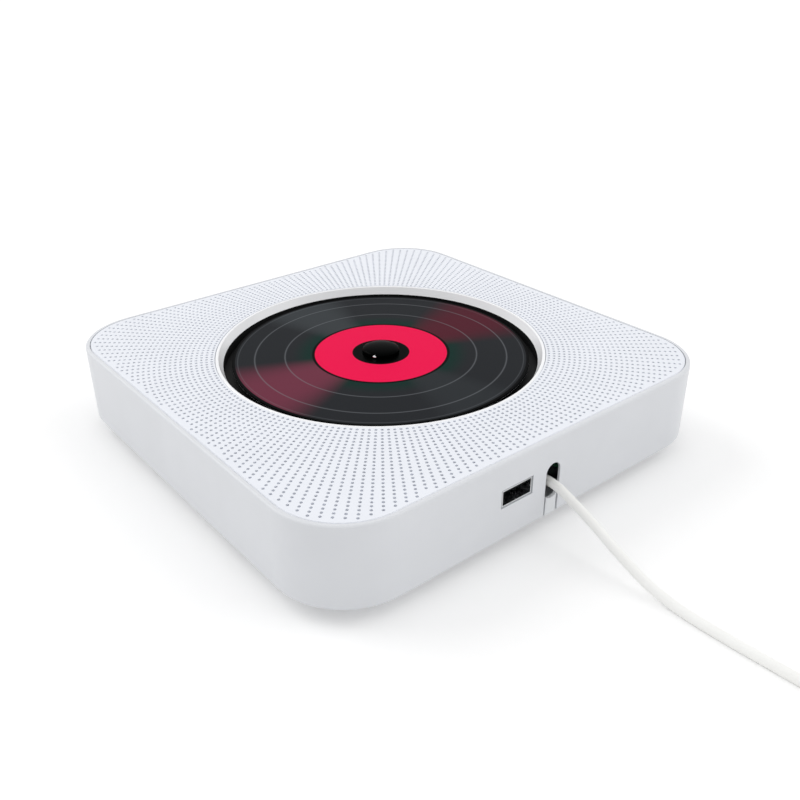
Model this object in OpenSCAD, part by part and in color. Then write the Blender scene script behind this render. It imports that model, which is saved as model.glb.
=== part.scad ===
// Wall mounted CD player, lying on its back: X and Y across the body, Z from the wall to the front.
// The origin is on the wall face of the feet, below the disc spindle.

/* [Body] */
// Side of the square body
body_side = 189; // [186:0.5:196]
// Height from the wall face of the feet to the front
body_h = 37; // [36:0.5:42]
// Corner radius of the body, seen from the front
corner_r = 27.2; // [25:0.2:30]
// Thickness of the side wall
wall = 2.2; // [1.9:0.1:2.6]
// Width of the side wall's rim round the front plate
rim_w = 1.7; // [1.2:0.1:1.8]
// Rounding of the side wall's front edge
edge_round = 0.9; // [0.5:0.1:1.1]
// Height of the side wall's rear edge above the wall face
base_h = 6; // [5:0.5:6.5]
// How far the rear cover's pan stands back from the side wall
base_inset = 10; // [9:0.5:11]

/* [Front plate] */
// Thickness of the front plate
plate_t = 2; // [1.6:0.1:2.4]
// Gap between the front plate and the rim
seam = 0.25; // [0.15:0.05:0.4]
// Rows of holes in one turn round the disc
hole_rows = 200; // [160:10:220]
// Distance from one ring of holes to the next
ring_pitch = 2; // [1.8:0.1:2.4]
// Distance from the well's lip to the first ring of holes
first_ring_gap = 1.3; // [1.1:0.05:3.8]
// Diameter of each hole
hole_d = 0.9; // [0.6:0.1:1.1]

/* [Disc well] */
// Clearance between the disc's edge and the throat
throat_clear = 3.4; // [2.4:0.1:3.8]
// Width of the sloping band, seen from the front
band_w = 1.5; // [1.2:0.1:3]
// Width of the rounded lip
lip_w = 1.4; // [1.2:0.1:2.4]
// Depth of the throat's edge below the front
throat_depth = 3.2; // [2.8:0.1:6]
// Depth of the well's floor below the front
well_depth = 7.5; // [7:0.1:8]
// Thickness of the well's floor and wall
well_t = 1.6; // [1.2:0.1:1.8]
// Width of the flange that fixes the well under the front plate
flange_w = 8.5; // [7.6:0.1:8.7]

/* [Disc] */
// Diameter of the disc
disc_d = 120; // [118:0.5:121]
// Thickness of the disc
disc_t = 1.2; // [1.1:0.05:1.3]
// Diameter of the disc's hole
disc_bore = 15; // [14.8:0.1:15.4]
// Depth of the disc's top below the front
disc_depth = 3; // [2.9:0.1:4]

/* [Turntable] */
// Diameter of the turntable's flange
turntable_d = 29; // [26:0.5:30]
// Clearance of the hub in the disc's hole, on the radius
hub_clear = 0.1; // [0.06:0.01:0.2]
// Height of the hub's top above the disc
hub_rise = 2.8; // [2.2:0.1:3.2]
// Diameter of each clamping ball
ball_d = 2.4; // [2:0.1:2.6]
// Diameter of the spindle shaft
shaft_d = 2; // [1.5:0.1:2.4]
// Diameter of the spindle motor
spindle_motor_d = 24.4; // [20:0.2:26]
// Length of the spindle motor's can
spindle_motor_h = 11.6; // [9:0.2:12]

/* [Pickup drive] */
// Radius at which the lens starts
lens_start = 24; // [23:0.5:26]
// Distance from the spindle's line to each guide rod
rod_y = 22; // [20:0.5:23]
// Diameter of the guide rods
rod_d = 3; // [2:0.25:3.5]
// Size of the gear teeth, as a module
gear_module = 0.6; // [0.5:0.05:0.7]
// Teeth on the small wheel that drives the rack
small_teeth = 12; // [11:1:14]
// Teeth on the large wheel
large_teeth = 28; // [24:2:32]
// Teeth on the motor's pinion
motor_teeth = 10; // [10:1:12]
// Diameter of the sled motor
sled_motor_d = 16; // [14:0.5:18]

/* [Speakers] */
// Clearance of each speaker's collar from the well's flange
speaker_clear = 0.45; // [0.3:0.05:2]
// Distance of each speaker's collar from the outside of the body
speaker_edge = 5.1; // [4.6:0.1:7]
// Depth of each speaker
speaker_h = 16; // [14:0.5:18]

/* [Ports] */
// Place of the USB socket along the side
usb_y = -17.4; // [-24:0.1:-16]
// Height of the USB socket's middle above the wall face
usb_z = 22.5; // [21:0.1:23.5]
// Width of the USB opening
usb_w = 14.8; // [14.4:0.1:15.2]
// Height of the USB opening
usb_h = 7.2; // [6.8:0.1:7.6]
// How far the mouth of the USB socket stands back from the side wall
usb_inset = 0.3; // [0.2:0.1:0.9]
// Width of the slot for the power lead
slot_w = 7; // [6.4:0.1:8]
// Height of the slot's round top above the wall face
slot_top = 26.8; // [25.5:0.1:28]
// Height of the slot's round bottom above the wall face
slot_bottom = 12.6; // [12:0.1:14.4]
// Thickness that is left of the side wall round that slot
slot_skin = 0.9; // [0.7:0.1:1.5]
// Gap on each side of the tongue that closes the slot
tongue_gap = 0.9; // [0.5:0.1:1.1]
// Thickness of that tongue
tongue_t = 1.2; // [1:0.1:2]
// Bore of the audio jack
jack_bore = 3.6; // [3.5:0.05:3.7]
// Place of the audio jack along the side
jack_y = 60; // [57:0.5:64]

/* [Buttons] */
// Length of each button's cap
button_l = 9; // [7:0.5:10]
// Width of each button's cap
button_w = 4; // [3.4:0.1:5]
// Distance from one button to the next
button_pitch = 14; // [12:0.5:16]
// Height of the buttons above the wall face
button_z = 22; // [20:0.5:23]
// Travel of each button
button_travel = 0.5; // [0.3:0.05:0.6]

/* [Rear] */
// Height of the feet below the rear cover
foot_h = 1; // [0.8:0.1:1.4]
// Diameter of each foot
foot_d = 12; // [9:0.5:14]
// Distance of each foot's centre from the edges of the rear cover's pan
foot_inset = 16.5; // [15.5:0.5:22]
// Thickness of the rear cover
pan_t = 2; // [1.6:0.1:2.2]
// Distance between the two keyholes
keyhole_pitch = 60; // [50:1:70]
// Diameter of each keyhole's round end
keyhole_d = 8.4; // [7.5:0.1:9]
// Width of each keyhole's slot
keyhole_slot = 4.4; // [4:0.1:5]
// Length of each keyhole's slot from the round end's middle
keyhole_run = 9; // [7:0.5:11]
// Place of the keyholes towards the top edge
keyhole_x = -44; // [-52:0.5:-40]

/* [Power lead] */
// Diameter of the power lead
cord_d = 3.4; // [3:0.1:4]
// Gap between the turns of the coil
coil_clear = 0.5; // [0.5:0.1:1]
// Radius of the coil's innermost turn
coil_r = 15.5; // [14:0.5:17]

/* [Hidden] */

fit = 0.05;
loose = 0.25;
round_fn = 96;
small_fn = 48;
edge_steps = 5;

// Body
half = body_side / 2;
ledge_z = body_h - plate_t;
ledge_in = 4;
ledge_t = 1.6;
shell_in = half - wall;
plate_half = half - rim_w - seam;
plate_r = corner_r - rim_w - seam;
pan_half = half - base_inset;
pan_r = corner_r - base_inset;
pan_top = foot_h + pan_t;
cover_half = shell_in - 0.2;
cover_top = base_h + pan_t;
foot_xy = pan_half - foot_inset;

// Screws
screw_d = 2.8;
screw_head_d = 5.6;
boss_d = 6.8;
boss_x = 0.423 * half;
boss_y = shell_in - boss_d / 2 - 0.4;
screw_reach = 9;

// Disc well
throat_r = disc_d / 2 + throat_clear;
lip_r = throat_r + band_w + lip_w;
first_ring_r = lip_r + first_ring_gap;
well_floor = body_h - well_depth;
well_under = well_floor - well_t;
throat_z = body_h - throat_depth;
cone_r = lip_r - lip_w;
flange_t = 1.8;
flange_r = lip_r + flange_w;
hub_window_r = 17.5;
slot_half = 12;
window_end = throat_r - 0.8;
well_screw_r = lip_r + flange_w / 2;
well_screw_d = 1.8;
well_head_d = 3.6;
well_head_t = 1.2;
well_screw_angles = [0, 90, 180, 270];

// Disc and turntable
disc_top = body_h - disc_depth;
disc_low = disc_top - disc_t;
pad_top = disc_low - 0.02;
pad_t = 0.6;
flange_top = pad_top - 0.2;
turntable_t = 1.5;
turntable_low = flange_top - turntable_t;
hub_r = disc_bore / 2 - hub_clear;
hub_top = disc_top + hub_rise;
hub_dome = 1.3;
sleeve_r = 3.2;
ball_z = disc_top + ball_d / 4;
ball_tip = disc_bore / 2 - 0.04;
ball_rest = ball_tip - ball_d / 2;
ball_travel = 0.4;
ball_bore = ball_d + 2 * fit;

// Pickup drive chassis
chassis_t = 1.6;
chassis_top = well_under - 6;
chassis_low = chassis_top - chassis_t;
chassis_r = 6;
damper_at = [
  [-0.742 * throat_r, rod_y + 9], [0.355 * throat_r, rod_y + 7], [-0.097 * throat_r, -2 * rod_y]
];
damper_d = 10;
damper_neck_d = 6;
damper_bore = 3;
damper_up = well_under - 2.9;
damper_low = chassis_low - 2.4;
washer_d = 6.4;
bush_r = rod_d / 2 + 1;
rod_z = chassis_top + bush_r + 0.4;
rod_post = 4;
lens_travel = 33.5;
sled_half = 13;
rod_x = [-lens_start - lens_travel - sled_half - 0.6 - rod_post, -6];
chassis_x = [rod_x[0] - 0.4, 0.516 * throat_r];
chassis_y = [-2 * rod_y - 6, rod_y + 16];
sled_low = chassis_top + 0.4;
sled_top = well_under - 0.5;
optics_low = chassis_low - 3.5;
optics_w = 28;
window_y = 17;
lens_top = pad_top - 1.5;
lens_d = 5;
lens_half = [3.2, 6];
lens_tower = lens_top - 1.1;
focus_gap = 0.36;

// Gears
small_r = gear_module * small_teeth / 2;
large_r = gear_module * large_teeth / 2;
motor_r = gear_module * motor_teeth / 2;
rack_y = -(rod_y + 11);
gear_x = -30;
gear_y = rack_y - small_r;
mesh_slack = 0.08;
pinion_x = gear_x - large_r - motor_r - mesh_slack;
rack_pitch = PI * gear_module;
rack_z = [chassis_top + 2, chassis_top + 3.6];
large_z = [chassis_top + 0.3, chassis_top + 1.5];
axle_d = 1.6;

// Speakers, as large as the corner outside the well's flange lets them be
collar_w = 1.2;
collar_r = (sqrt(2) * (half - speaker_edge) - flange_r - speaker_clear) / (1 + sqrt(2));
speaker_xy = half - speaker_edge - collar_r;
speaker_r = collar_r - collar_w;
speaker_d = 2 * speaker_r;
grille_r = collar_r + 0.2;
cone_low = ledge_z - speaker_h * 0.5;
magnet_low = ledge_z - speaker_h;

// Boards
board_t = 1.6;
usb_shell = [13.8, usb_w - 1, usb_h - 0.9];
usb_back = half - usb_inset - usb_shell.x;
usb_mouth = 2.3;
board_top = usb_z - usb_shell.z / 2;
board_low = board_top - board_t;
board_x = [0.593 * half, shell_in - 0.5];
board_y = 0.476 * half;
board_bay_x = half - 28.5;
board_bay_y = 9.5;
standoff_d = 6;
standoffs = [for (x = [0.635, 0.825] * half, s = [-1, 1]) [x, s * (board_y - 5)]];
cap_at = [0.677 * half, board_y / 1.5];
cap_d = 6.3;
cap_h = 7;
amplifier = [12, 12, 1.6];
decoder = [10, 10, 1.4];
inductor = [6, 14, 4];
button_count = 6;
button_row = [for (i = [0:button_count - 1]) (i - (button_count - 1) / 2) * button_pitch];
cap_face = half - 0.2;
cap_clear = 0.2;
button_flange = 0.8;
switch_w = 1.5 * button_w;
button_board_x = shell_in - 7;
button_board_y = [button_row[0] - 10, jack_y + 8];
switch_face = shell_in - button_flange - 0.1 - button_travel - 0.15;
jack_d = 6;
jack_corner = 1;

// Pull switch and lead
cord_r = cord_d / 2;
coil_pitch = cord_d + coil_clear;
cord_z = 18.6;
carriage = [14, 9, 7];
carriage_x = half - 22.5;
relief_start = carriage_x + carriage.x;
relief_end = half - 4.5;
pull_travel = 3;
plunger_d = 2.4;
plunger_z = max(cord_z + 2.2, board_top + plunger_d / 2 + 0.4);
slot_r = slot_w / 2;
slot_relief = 3;
slot_mid = slot_bottom + slot_r;
tie_t = 0.5;
tie_w = 9;
coil_turns = 4;
coil_steps = 24;
coil_out = coil_r + coil_turns * coil_pitch;
coil_x = half + 127.5;
coil_y = coil_out;
coil_z = cord_r + tie_t + 0.1;
coil_layer = coil_pitch;
coil_start = coil_x - 2 * cord_d;
tail_end = coil_x - 18;
plug_z = 4;
plug_relief = 8;
plug_body = [17, 15, 8];
plug_shell = [12, 12, 4.5];

// The lead's route from the strain relief down to the table and on to the coil
lead_route = [
  [relief_end, 0, cord_z], [half, 0, cord_z],
  for (p = [[3.5, 0, 18], [7.5, 0, 16.5], [11.5, 0, 15], [16.5, -0.2, 13.1], [21.5, -0.5, 11.2],
            [26.5, -0.9, 9.2], [32.5, -1.3, 6.9], [38.5, -1.7, 4.8], [44.5, -2, 3.2],
            [50.5, -2.2, 2.3]]) [half + p.x, p.y, p.z],
  for (p = [[57.5, -2.3, 0], [69.5, -2.1, 0], [82.5, -1.4, 0], [94.5, -0.6, 0],
            [105.5, -0.1, 0.3]]) [half + p.x, p.y, cord_r + p.z],
  [coil_start - cord_d, 0, coil_z], [coil_start, 0, coil_z]
];

// Turns in, one climb at the inside, and turns out again, then the tail down to the plug
function coil_place(turn) = let (
    climb = min(max(turn - coil_turns, 0), 0.5) * 2,
    r = coil_out - coil_pitch * min(turn, 2 * coil_turns + 0.5 - turn),
    a = 360 * turn - 90
  ) [coil_x + r * cos(a), coil_y + r * sin(a),
     coil_z + coil_layer * (1 - cos(180 * climb)) / 2];
coil_last = round((2 * coil_turns + 0.5) * coil_steps);
tail_y = coil_y + coil_out;
tail_high = coil_z + coil_layer;
coil_route = [
  [coil_start, 0, coil_z], [coil_start + cord_d, 0, coil_z],
  for (i = [0:coil_last]) coil_place(i / coil_steps),
  [coil_x - 5, tail_y, tail_high - 0.3], [coil_x - 9, tail_y, plug_z + 1.2],
  [coil_x - 13, tail_y, plug_z + 0.2], [tail_end + cord_d, tail_y, plug_z],
  [tail_end, tail_y, plug_z]
];
coil_gap = min([for (i = [0:2:coil_last - coil_steps / 2])
  for (j = [i + coil_steps / 2:len(coil_route) - 1]) norm(coil_route[i] - coil_route[j])]) - cord_d;
echo("least gap between the coil's turns, in mm", coil_gap);

function unit(v) = v / norm(v);
function heading(path, i) = unit(path[min(i + 1, len(path) - 1)] - path[max(i - 1, 0)]);
function ring(path, i, r, sides) = let (
    t = heading(path, i),
    side = unit(cross([0, 0, 1], t)),
    up = cross(t, side)
  ) [for (k = [0:sides - 1]) let (a = 360 * k / sides - 90)
      path[i] + r * (cos(a) * side + sin(a) * up)];

// A round tube swept along a path, closed square at both ends
module tube(path, r, sides) {
  last = len(path) - 1;
  points = [for (i = [0:last]) each ring(path, i, r, sides)];
  walls = [for (i = [0:last - 1]) for (k = [0:sides - 1]) let (
      a = i * sides + k,
      b = i * sides + (k + 1) % sides
    ) each [[a, a + sides, b], [b, a + sides, b + sides]]];
  first_end = [for (k = [1:sides - 2]) [0, k, k + 1]];
  last_end = [for (k = [1:sides - 2]) [last * sides, last * sides + k + 1, last * sides + k]];
  polyhedron(points, concat(walls, first_end, last_end));
}

// A square with rounded corners, drawn from straight and round pieces
module round_square(h, r) {
  square([2 * h, 2 * (h - r)], center = true);
  square([2 * (h - r), 2 * h], center = true);
  for (x = [-1, 1], y = [-1, 1])
    translate([x * (h - r), y * (h - r)]) circle(r, $fn = round_fn);
}

// A rectangle with rounded corners between two corners
module round_rect(low, high, r) {
  translate([low.x, low.y + r]) square([high.x - low.x, high.y - low.y - 2 * r]);
  translate([low.x + r, low.y]) square([high.x - low.x - 2 * r, high.y - low.y]);
  for (x = [low.x + r, high.x - r], y = [low.y + r, high.y - r])
    translate([x, y]) circle(r, $fn = small_fn);
}

// Carries a profile round a square with rounded corners: its x is the distance outside the line
module swept_square(h, r) {
  for (k = [0:3]) rotate(90 * k) {
    translate([h - r, h - r]) rotate_extrude(angle = 90, $fn = round_fn)
      translate([r, 0]) children();
    translate([h, h - r, 0]) rotate([90, 0, 0]) linear_extrude(2 * (h - r)) children();
  }
}

module up_cylinder(z, h, d, fn = small_fn) {
  translate([0, 0, z]) cylinder(h = h, d = d, $fn = fn);
}

module washer(z, h, outer, inner, fn = small_fn) {
  translate([0, 0, z]) linear_extrude(h) difference() {
    circle(d = outer, $fn = fn);
    circle(d = inner, $fn = fn);
  }
}

module four_ways(x, y) {
  for (sx = [-1, 1], sy = [-1, 1]) translate([sx * x, sy * y, 0]) children();
}

// A slot with round ends, standing on the side wall: width along y, height along z
module side_slot(x, length, width, low, high) {
  translate([x, 0, 0]) rotate([90, 0, 90]) linear_extrude(length) {
    translate([-width / 2, low + width / 2]) square([width, high - low - width]);
    for (z = [low + width / 2, high - width / 2])
      translate([0, z]) circle(d = width, $fn = small_fn);
  }
}

// The long slot with round ends that a button's cap fills
module button_shape(clear) {
  l = button_l + 2 * clear;
  w = button_w + 2 * clear;
  square([l - w, w], center = true);
  for (s = [-1, 1]) translate([s * (l - w) / 2, 0]) circle(d = w, $fn = small_fn);
}

// ---- Housing ----

module shell_profile() {
  polygon(concat(
    [[-wall, base_h], [-0.4, base_h], [0, base_h + 0.4]],
    [for (i = [0:edge_steps]) let (a = 90 * i / edge_steps)
      [edge_round * (cos(a) - 1), body_h - edge_round + edge_round * sin(a)]],
    [[-rim_w, body_h], [-rim_w, ledge_z], [-ledge_in, ledge_z],
     [-ledge_in, ledge_z - ledge_t], [-wall, ledge_z - ledge_t - ledge_in + wall]]
  ));
}

module side_shell() {
  color("#e4e7ea") difference() {
    union() {
      swept_square(half, corner_r) shell_profile();
      four_ways(boss_x, boss_y) up_cylinder(cover_top, ledge_z - ledge_t - cover_top, boss_d);
      for (s = [-1, 1], x = [-boss_x, boss_x])
        translate([x - 1, s > 0 ? boss_y : -shell_in - 0.5, cover_top])
          cube([2, boss_d / 2 + 0.9, ledge_z - ledge_t - cover_top]);
      for (s = [-1, 1]) translate([-button_board_x - board_t / 2, 0, 0]) board_grip(s);
    }
    four_ways(boss_x, boss_y) up_cylinder(cover_top - 1, screw_reach + 2, screw_d + 2 * fit);
    translate([shell_in - 1, usb_y - usb_w / 2, usb_z - usb_h / 2]) cube([wall + 2, usb_w, usb_h]);
    side_slot(shell_in - 1, wall + 2, slot_w, base_h - slot_w, slot_top);
    translate([shell_in - 1, -slot_w / 2 - slot_relief, cover_top + 1])
      cube([wall - slot_skin + 1, slot_w + 2 * slot_relief, slot_top + slot_relief - cover_top - 1]);
    for (y = button_row) translate([-shell_in + 1, y, button_z]) rotate([90, 0, -90])
      linear_extrude(wall + 2) button_shape(cap_clear);
    translate([-shell_in + 1, jack_y, button_z]) rotate([90, 0, -90]) linear_extrude(wall + 2)
      round_square(jack_d / 2 + cap_clear, jack_corner + cap_clear);
  }
}

// One of two grooved ribs on the wall that hold the button board's ends
module board_grip(s) {
  y = s > 0 ? button_board_y[1] : button_board_y[0];
  reach = shell_in - button_board_x + board_t / 2 + 1.4;
  translate([0, y - (s > 0 ? 0 : 2.2), cover_top + 4]) difference() {
    translate([-reach + 1.4 + board_t, 0, 0])
      cube([reach, 2.2, ledge_z - ledge_t - cover_top - 4]);
    translate([-fit, s > 0 ? -1 : 1.2, -1])
      cube([board_t + 2 * fit, 2, body_h]);
  }
}

module front_plate() {
  color("#f2f4f8") difference() {
    union() {
      translate([0, 0, ledge_z]) linear_extrude(plate_t - 0.3) round_square(plate_half, plate_r);
      translate([0, 0, body_h - 0.3]) linear_extrude(0.3)
        round_square(plate_half - 0.3, plate_r - 0.3);
    }
    translate([0, 0, ledge_z - 1]) cylinder(h = plate_t + 2, r = lip_r + 0.15, $fn = round_fn);
    for (s = [-1, 1]) at_speaker(s) up_cylinder(ledge_z - 1, plate_t + 2, 2 * grille_r, round_fn);
    for (a = well_screw_angles) rotate(a) translate([well_screw_r, 0, 0])
      up_cylinder(ledge_z - 1, 2.3, well_screw_d + 2 * fit, 24);
  }
}

// The round part of the plate over a speaker: its holes go right through, and a collar behind it
// holds the speaker's frame
module speaker_grille(s) {
  color("#f2f4f8") {
    translate([0, 0, ledge_z]) linear_extrude(plate_t) difference() {
      at_speaker(s) circle(grille_r, $fn = round_fn);
      speaker_holes(s);
    }
    at_speaker(s) washer(ledge_z - 2, 2.2, 2 * collar_r, 2 * collar_r - 1.8, round_fn);
  }
}

// Those holes of the ring pattern that lie over a speaker's cone
module speaker_holes(s) {
  rings = floor(speaker_xy * 1.5 / ring_pitch);
  for (k = [0:rings], i = [0:hole_rows - 1]) let (
      r = first_ring_r + k * ring_pitch,
      a = 360 * i / hole_rows,
      at = [r * cos(a), r * sin(a)]
    )
    if (norm(at - [speaker_xy, s * speaker_xy]) < speaker_r - 3)
      translate(at) circle(d = hole_d, $fn = 16);
}

// The well's section: rounded lip, sloping band, throat and floor, with the flange underneath
module well_profile() {
  lip_mid = lip_r - lip_w / 2;
  polygon(concat(
    [[0, well_under], [throat_r + well_t, well_under], [throat_r + well_t, throat_z - well_t],
     [cone_r + 0.6, ledge_z - flange_t], [flange_r, ledge_z - flange_t], [flange_r, ledge_z],
     [lip_r, ledge_z], [lip_r, body_h - 0.4]],
    [for (i = [1:edge_steps]) let (a = 180 * i / (edge_steps + 1))
      [lip_mid + lip_w / 2 * cos(a), body_h - 0.4 + 0.4 * sin(a)]],
    [[cone_r, body_h - 0.4], [throat_r, throat_z], [throat_r, well_floor], [0, well_floor]]
  ));
}

module disc_well() {
  color("#f0f2f5") difference() {
    union() {
      rotate_extrude($fn = round_fn) well_profile();
      for (p = damper_at) translate(p)
        up_cylinder(damper_up, well_under - damper_up + 0.5, damper_neck_d + 1);
    }
    translate([0, 0, well_under - 1]) linear_extrude(well_t + 2) {
      circle(r = hub_window_r, $fn = round_fn);
      intersection() {
        circle(r = window_end, $fn = round_fn);
        translate([-body_side, -slot_half]) square([body_side, 2 * slot_half]);
      }
    }
    for (p = damper_at) translate(p) up_cylinder(damper_up - 1, 4.6, damper_bore - 0.3, 24);
    for (a = well_screw_angles) rotate(a) translate([well_screw_r, 0, 0])
      up_cylinder(ledge_z - flange_t - 1, flange_t + 2, well_screw_d + 0.4, 24);
  }
}

module well_screws() {
  color("silver") for (a = well_screw_angles) rotate(a) translate([well_screw_r, 0, 0]) {
    up_cylinder(ledge_z - flange_t - well_head_t, well_head_t, well_head_d, 24);
    up_cylinder(ledge_z - flange_t - 0.2, flange_t + 1.2, well_screw_d, 24);
  }
}

module pan_profile() {
  polygon([
    [-pan_t - 1, foot_h], [-0.8, foot_h], [0, foot_h + 0.8], [0, base_h],
    [cover_half - pan_half, base_h], [cover_half - pan_half, cover_top],
    [-pan_t, cover_top], [-pan_t, pan_top], [-pan_t - 1, pan_top]
  ]);
}

module rear_cover() {
  color("#dfe3e6") difference() {
    union() {
      swept_square(pan_half, pan_r) pan_profile();
      translate([0, 0, foot_h]) linear_extrude(pan_t)
        round_square(pan_half - pan_t, pan_r - pan_t);
      for (p = standoffs) translate(p)
        up_cylinder(pan_top - 0.5, board_low - pan_top + 0.5, standoff_d);
      slot_tongue();
      carriage_guide();
      for (y = button_board_y) translate([-button_board_x, y, 0]) board_post();
      for (s = [-1, 1]) translate([-0.734 * pan_half, s * 0.615 * pan_half - 0.6, pan_top - 0.5])
        cube([1.231 * pan_half, 1.2, 3]);
      for (x = [-0.781, 0.521] * pan_half) translate([x - 0.6, -0.734 * pan_half, pan_top - 0.5])
        cube([1.2, 1.468 * pan_half, 3]);
    }
    four_ways(boss_x, boss_y) {
      up_cylinder(base_h - 1, pan_t + 2, screw_d + 0.6);
      up_cylinder(base_h - 1, 2, screw_head_d + 0.4);
    }
    four_ways(foot_xy, foot_xy) up_cylinder(foot_h - 1, 1.6, foot_d + 2 * fit);
    for (s = [-1, 1]) translate([keyhole_x, s * keyhole_pitch / 2, 0]) keyhole();
    for (p = standoffs) translate(p) up_cylinder(board_low - 6, 7, 2.1, 24);
  }
}

// A round hole for a screw's head, with a slot for its shank towards the top edge
module keyhole() {
  up_cylinder(foot_h - 1, pan_t + 2, keyhole_d);
  translate([-keyhole_run, -keyhole_slot / 2, foot_h - 1])
    cube([keyhole_run, keyhole_slot, pan_t + 2]);
  translate([-keyhole_run, 0, 0]) up_cylinder(foot_h - 1, pan_t + 2, keyhole_slot);
}

// The tongue that closes the lead's slot from below, hollowed round the lead
module slot_tongue() {
  w = slot_w - 2 * tongue_gap;
  difference() {
    translate([cover_half - 1, -w / 2, base_h])
      cube([half - 0.1 - cover_half + 1, w, slot_mid - base_h - 1]);
    translate([cover_half - 2, 0, slot_mid]) rotate([0, 90, 0])
      cylinder(h = 6, r = slot_r, $fn = small_fn);
    translate([cover_half - 2, -w, cover_top])
      cube([half - 0.1 - tongue_t - cover_half + 2, 2 * w, body_h]);
  }
}

// The channel on the rear cover that the pull carriage runs in
module carriage_guide() {
  low = cord_z - carriage.z / 2 - 0.1;
  rail = carriage.y / 2 + 0.2;
  difference() {
    translate([carriage_x - 2, -rail - 1.6, pan_top - 0.5])
      cube([pan_half - pan_t - carriage_x + 2.2, 2 * rail + 3.2, cord_z + 1 - pan_top + 0.5]);
    translate([carriage_x - 3, -rail, low]) cube([body_side, 2 * rail, body_h]);
    translate([carriage_x - 0.5, -rail, pan_top]) cube([7, 2 * rail, low - pan_top - 1.4]);
  }
}

// A post that the button board's lower edge stands on
module board_post() {
  translate([-1, -2.5, cover_top - 0.5]) cube([2 + board_t, 5, 2.5]);
}

module rubber_feet() {
  color("#3a3d40") four_ways(foot_xy, foot_xy) rotate_extrude($fn = small_fn)
    polygon([[0, 0], [foot_d / 2 - 0.6, 0], [foot_d / 2, 0.6], [foot_d / 2, foot_h + 0.6],
             [0, foot_h + 0.6]]);
}

module cover_screws() {
  color("silver") four_ways(boss_x, boss_y) difference() {
    union() {
      up_cylinder(base_h - 0.6, 1.6, screw_head_d);
      up_cylinder(base_h + 0.5, screw_reach, screw_d);
    }
    for (a = [0, 90]) rotate(a) translate([-1.4, -0.35, base_h - 1]) cube([2.8, 0.7, 1]);
  }
}

// ---- Speakers ----

module at_speaker(s) {
  translate([speaker_xy, s * speaker_xy, 0]) children();
}

module speaker_frame(s) {
  color("#8d9196") at_speaker(s) difference() {
    rotate_extrude($fn = round_fn) polygon([
      [speaker_r - 3, ledge_z], [speaker_r, ledge_z], [speaker_r, ledge_z - 1],
      [speaker_r - 2, ledge_z - 1], [speaker_r * 0.62, cone_low], [speaker_r * 0.62, cone_low - 1],
      [5, cone_low - 1], [5, cone_low], [speaker_r * 0.58, cone_low], [speaker_r - 4.6, ledge_z - 1.6],
      [speaker_r - 3.4, ledge_z - 1.6], [speaker_r - 3.4, ledge_z - 1]
    ]);
    for (a = [45:90:315]) rotate(a) translate([speaker_r * 0.76, 0, cone_low + 3])
      rotate([0, -50, 0]) cylinder(h = 12, d = 6, center = true, $fn = small_fn);
  }
}

module speaker_magnet(s) {
  color("#3b3e42") at_speaker(s) difference() {
    union() {
      up_cylinder(magnet_low, cone_low - 1 - magnet_low, speaker_d * 0.56, round_fn);
      up_cylinder(magnet_low - 1, 1.2, speaker_d * 0.5, round_fn);
    }
    washer(magnet_low + 1, speaker_h, 10.6, 8, round_fn);
  }
}

module speaker_cone(s) {
  color("#2a2b2d") at_speaker(s) {
    rotate_extrude($fn = round_fn) polygon([
      [speaker_r - 3.5, ledge_z - 1.6], [speaker_r - 3.5, ledge_z - 1], [speaker_r - 4.6, ledge_z - 0.5],
      [speaker_r - 5.8, ledge_z - 1.2], [6, cone_low + 1.6], [3.5, cone_low + 2.6], [0, cone_low + 3],
      [0, cone_low + 2.5], [4.1, cone_low + 1.8], [4.1, magnet_low + 3], [4.7, magnet_low + 3],
      [4.7, cone_low + 1], [6, cone_low + 1], [speaker_r - 5.6, ledge_z - 1.9],
      [speaker_r - 4.9, ledge_z - 1.6]
    ]);
  }
}

// ---- Boards and sockets ----

module main_board() {
  color("#1f6b43") difference() {
    translate([0, 0, board_low]) linear_extrude(board_t) difference() {
      translate([board_x[0], -board_y]) square([board_x[1] - board_x[0], 2 * board_y]);
      translate([board_bay_x, -board_bay_y]) square([body_side, 2 * board_bay_y]);
    }
    for (p = standoffs) translate(p) up_cylinder(board_low - 1, board_t + 2, 3, 24);
  }
}

module board_screws() {
  color("silver") for (p = standoffs) translate(p) {
    up_cylinder(board_top, 1.4, 4.4, 24);
    up_cylinder(board_low - 4, board_top - board_low + 4.2, 2, 24);
  }
}

// Capacitors, the amplifier and the decoder on the main board
module board_parts() {
  color("#26282b") {
    for (s = [-1, 1]) translate([cap_at.x, s * cap_at.y, 0]) up_cylinder(board_top, cap_h, cap_d);
    translate([0.635 * half, -0.533 * board_y, board_top]) cube(amplifier);
    translate([0.71 * half, 0.356 * board_y, board_top]) cube(decoder);
    translate([0.868 * half, 0.533 * board_y, board_top]) cube(inductor);
  }
}

module usb_socket() {
  color("#c9ccd0") translate([usb_back, usb_y, usb_z]) difference() {
    translate([0, -usb_shell.y / 2, -usb_shell.z / 2]) cube(usb_shell);
    translate([3, -usb_shell.y / 2 + 0.4, -usb_shell.z / 2 + 0.4])
      cube([usb_shell.x, usb_shell.y - 0.8, usb_shell.z - 0.8]);
  }
}

module usb_tongue() {
  color("#17181a") translate([usb_back + 3, usb_y - 5.6, usb_z + 0.4])
    cube([half - usb_mouth - usb_back - 3, 11.2, 1.8]);
}

module button_board() {
  hole = 6;
  color("#1f6b43") difference() {
    translate([-button_board_x, button_board_y[0] + 0.1, cover_top + 2])
      cube([board_t, button_board_y[1] - button_board_y[0] - 0.2, ledge_z - cover_top - 6]);
    translate([-button_board_x - 1, jack_y - hole / 2, button_z - hole / 2])
      cube([board_t + 2, hole, hole]);
  }
}

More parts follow.
